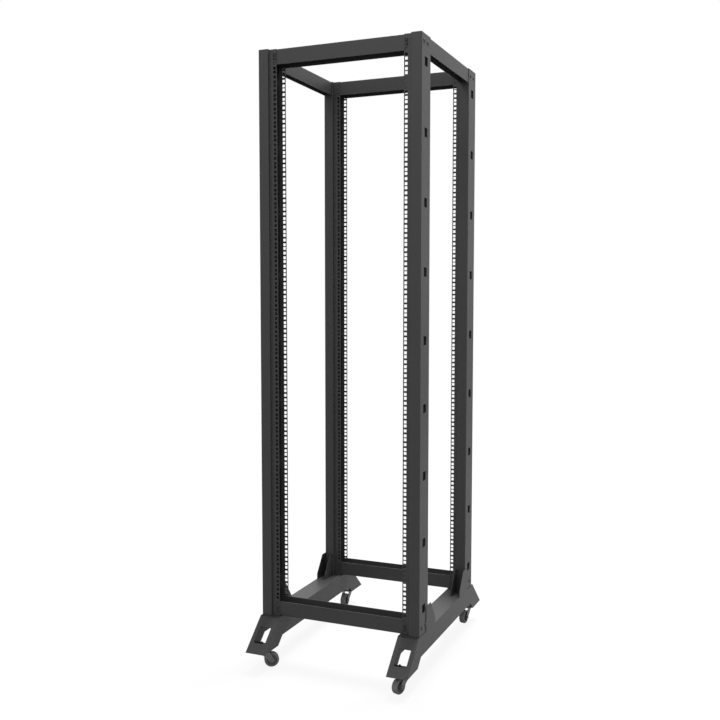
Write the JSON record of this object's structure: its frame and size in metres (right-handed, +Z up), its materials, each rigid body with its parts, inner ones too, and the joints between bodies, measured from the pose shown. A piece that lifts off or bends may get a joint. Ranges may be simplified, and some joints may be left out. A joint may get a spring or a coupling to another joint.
{
  "type": "four post open frame rack",
  "caption": "Open frame 19 inch equipment rack, 42 units tall, with square holed rails on each post, channel beams and base legs on swivel casters",
  "frame": {"origin": "on the floor under the middle of the rack, where the casters stand", "axes": "+X to the right seen from the front, +Y to the back, +Z up"},
  "size_m": [0.578, 0.83, 2.0759],
  "materials": {
    "powder_coat": "fine textured satin black powder coat",
    "plated_steel": "dark zinc plated pressed steel",
    "caster_plastic": "moulded plastic",
    "caster_tyre": "grey rubber tread"
  },
  "bodies": {
    "rack_frame": {"post_front_left": "powder_coat", "post_front_right": "powder_coat", "post_rear_left": "powder_coat", "post_rear_right": "powder_coat", "top_beam_front": "powder_coat", "top_beam_rear": "powder_coat", "bottom_beam_front": "powder_coat", "bottom_beam_rear": "powder_coat", "top_beam_left": "powder_coat", "base_leg_left": "powder_coat", "top_beam_right": "powder_coat", "base_leg_right": "powder_coat", "foot_front_plate_front_left": "powder_coat", "foot_base_plate_front_left": "powder_coat", "inner_ear_front_left": "powder_coat", "caster_plate_front_left": "plated_steel", "foot_front_plate_front_right": "powder_coat", "foot_base_plate_front_right": "powder_coat", "inner_ear_front_right": "powder_coat", "caster_plate_front_right": "plated_steel", "foot_front_plate_rear_left": "powder_coat", "foot_base_plate_rear_left": "powder_coat", "inner_ear_rear_left": "powder_coat", "caster_plate_rear_left": "plated_steel", "foot_front_plate_rear_right": "powder_coat", "foot_base_plate_rear_right": "powder_coat", "inner_ear_rear_right": "powder_coat", "caster_plate_rear_right": "plated_steel"},
    "caster_swivel_front_left": {"caster_fork_front_left": "plated_steel", "caster_axle_front_left": "plated_steel"},
    "caster_wheel_front_left": {"caster_hub_front_left": "caster_plastic", "caster_tyre_front_left": "caster_tyre"},
    "caster_swivel_front_right": {"caster_fork_front_right": "plated_steel", "caster_axle_front_right": "plated_steel"},
    "caster_wheel_front_right": {"caster_hub_front_right": "caster_plastic", "caster_tyre_front_right": "caster_tyre"},
    "caster_swivel_rear_left": {"caster_fork_rear_left": "plated_steel", "caster_axle_rear_left": "plated_steel"},
    "caster_wheel_rear_left": {"caster_hub_rear_left": "caster_plastic", "caster_tyre_rear_left": "caster_tyre"},
    "caster_swivel_rear_right": {"caster_fork_rear_right": "plated_steel", "caster_axle_rear_right": "plated_steel"},
    "caster_wheel_rear_right": {"caster_hub_rear_right": "caster_plastic", "caster_tyre_rear_right": "caster_tyre"}
  },
  "joints": [
    {"name": "swivel_front_left", "type": "hinge", "parent": "rack_frame", "child": "caster_swivel_front_left", "pos_m": [-0.253, -0.35, 0.06], "axis": [0, 0, 1], "continuous": true},
    {"name": "wheel_front_left", "type": "hinge", "parent": "caster_swivel_front_left", "child": "caster_wheel_front_left", "pos_m": [-0.23227, -0.33602, 0.025], "axis": [-0.5592, 0.829, 0], "continuous": true},
    {"name": "swivel_front_right", "type": "hinge", "parent": "rack_frame", "child": "caster_swivel_front_right", "pos_m": [0.253, -0.35, 0.06], "axis": [0, 0, 1], "continuous": true},
    {"name": "wheel_front_right", "type": "hinge", "parent": "caster_swivel_front_right", "child": "caster_wheel_front_right", "pos_m": [0.24486, -0.37364, 0.025], "axis": [0.9455, -0.3256, 0], "continuous": true},
    {"name": "swivel_rear_left", "type": "hinge", "parent": "rack_frame", "child": "caster_swivel_rear_left", "pos_m": [-0.253, 0.35, 0.06], "axis": [0, 0, 1], "continuous": true},
    {"name": "wheel_rear_left", "type": "hinge", "parent": "caster_swivel_rear_left", "child": "caster_wheel_rear_left", "pos_m": [-0.253, 0.325, 0.025], "axis": [1, 0, 0], "continuous": true},
    {"name": "swivel_rear_right", "type": "hinge", "parent": "rack_frame", "child": "caster_swivel_rear_right", "pos_m": [0.253, 0.35, 0.06], "axis": [0, 0, 1], "continuous": true},
    {"name": "wheel_rear_right", "type": "hinge", "parent": "caster_swivel_rear_right", "child": "caster_wheel_rear_right", "pos_m": [0.25039, 0.32514, 0.025], "axis": [0.9945, -0.1045, 0], "continuous": true}
  ]
}
